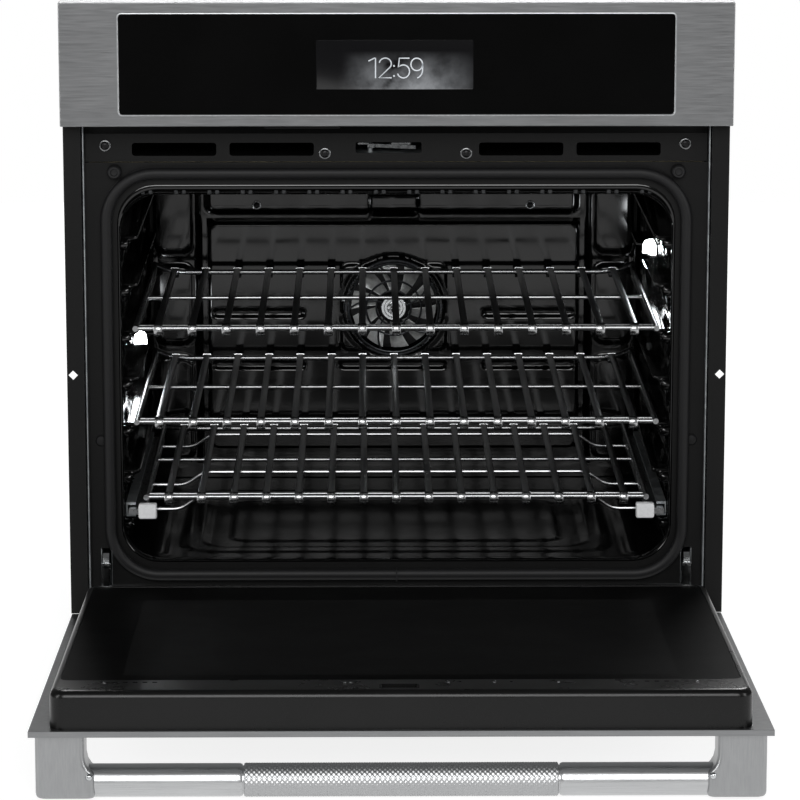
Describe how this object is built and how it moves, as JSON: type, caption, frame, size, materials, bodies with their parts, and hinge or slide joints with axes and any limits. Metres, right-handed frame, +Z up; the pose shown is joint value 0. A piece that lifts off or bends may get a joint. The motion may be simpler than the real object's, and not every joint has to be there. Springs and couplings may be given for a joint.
{
  "type": "wall oven",
  "caption": "Built-in single wall oven with drop-down window door, bar handle, touch control panel, wire racks, convection fan and cooling blower.",
  "frame": {"origin": "centre of the base pan's underside", "axes": "+Z up, the door faces -Y, +X to the right of someone facing the oven"},
  "size_m": [0.755, 1.1584, 0.7553],
  "materials": {
    "brushed_steel": "satin brushed",
    "galvanised_steel": "zinc-plated sheet",
    "black_enamel": "gloss enamel",
    "black_painted_steel": "satin black",
    "black_glass": "gloss printed glass",
    "clear_glass": "clear",
    "silicone_rubber": "matte",
    "chrome": "polished",
    "nickel_wire": "bright nickel",
    "mineral_wool": "fibrous",
    "black_plastic": "matte",
    "circuit_board": "solder mask",
    "element_sheath": "oxidised sheath"
  },
  "bodies": {
    "chassis": {"base_pan": "galvanised_steel", "side_panel_left": "galvanised_steel", "side_panel_right": "galvanised_steel", "rear_panel": "galvanised_steel", "top_cover": "galvanised_steel", "front_frame": "black_painted_steel", "side_trim_left": "black_painted_steel", "side_trim_right": "black_painted_steel", "air_outlet_strip": "black_painted_steel", "cavity_ceiling": "black_enamel", "cavity_floor": "black_enamel", "cavity_wall_left": "black_enamel", "cavity_wall_right": "black_enamel", "cavity_back": "black_enamel", "fan_cover": "black_enamel", "door_gasket": "silicone_rubber", "insulation_blanket": "mineral_wool", "convection_element": "element_sheath", "broil_element": "element_sheath", "bake_element": "element_sheath", "temperature_sensor": "chrome", "lamp_lens_left": "clear_glass", "lamp_lens_right": "clear_glass", "convection_motor": "galvanised_steel", "cooling_blower_housing": "galvanised_steel", "cooling_blower_motor": "black_painted_steel", "air_duct": "galvanised_steel", "latch_housing": "galvanised_steel", "control_fascia": "brushed_steel", "control_glass": "black_glass", "control_housing": "black_plastic", "display_module": "black_plastic", "control_board": "circuit_board", "conduit_gland": "chrome", "hinge_receiver_left": "galvanised_steel", "hinge_receiver_right": "galvanised_steel", "hinge_claw_left": "chrome", "hinge_claw_right": "chrome", "bumper_left": "silicone_rubber", "bumper_right": "silicone_rubber", "slide_rail_left": "galvanised_steel", "slide_rail_right": "galvanised_steel"},
    "door": {"door_skin": "brushed_steel", "door_liner": "black_enamel", "door_inner_glass": "black_glass", "door_window_frame": "galvanised_steel", "door_middle_glass": "clear_glass", "door_outer_glass": "black_glass", "handle_bar": "brushed_steel", "handle_bracket_left": "brushed_steel", "handle_bracket_right": "brushed_steel"},
    "rack_top": {"rack_upper": "nickel_wire"},
    "rack_mid": {"rack_middle": "nickel_wire"},
    "roll_out": {"rack_lower": "nickel_wire", "slide_carriage": "chrome"},
    "latch": {"latch_hook": "chrome"},
    "fan": {"convection_fan": "galvanised_steel"},
    "blower": {"cooling_blower_wheel": "galvanised_steel"},
    "lock_l": {"hinge_lock_left": "chrome"},
    "lock_r": {"hinge_lock_right": "chrome"}
  },
  "joints": [
    {"name": "door_hinge", "type": "hinge", "parent": "chassis", "child": "door", "pos_m": [0, -0.3194, 0.0247], "axis": [1, 0, 0], "range_deg": [-87, 0]},
    {"name": "rack_upper_slide", "type": "slide", "parent": "chassis", "child": "rack_top", "axis": [0, -1, 0], "range_m": [0, 0.3]},
    {"name": "rack_middle_slide", "type": "slide", "parent": "chassis", "child": "rack_mid", "axis": [0, -1, 0], "range_m": [0, 0.3]},
    {"name": "roll_out_slide", "type": "slide", "parent": "chassis", "child": "roll_out", "axis": [0, -1, 0], "range_m": [0, 0.33]},
    {"name": "latch_pivot", "type": "hinge", "parent": "chassis", "child": "latch", "pos_m": [-0.03, -0.242, 0.559], "axis": [0, 0, 1], "range_deg": [-40, 0]},
    {"name": "fan_spin", "type": "hinge", "parent": "chassis", "child": "fan", "pos_m": [0, 0.184, 0.2955], "axis": [0, 1, 0], "continuous": true},
    {"name": "blower_spin", "type": "hinge", "parent": "chassis", "child": "blower", "pos_m": [0, 0.003, 0.57], "axis": [0, 0, 1], "continuous": true},
    {"name": "hinge_lock_left_pivot", "type": "hinge", "parent": "chassis", "child": "lock_l", "pos_m": [-0.337, -0.276, 0.056], "axis": [1, 0, 0], "range_deg": [0, 60]},
    {"name": "hinge_lock_right_pivot", "type": "hinge", "parent": "chassis", "child": "lock_r", "pos_m": [0.337, -0.276, 0.056], "axis": [1, 0, 0], "range_deg": [0, 60]}
  ]
}
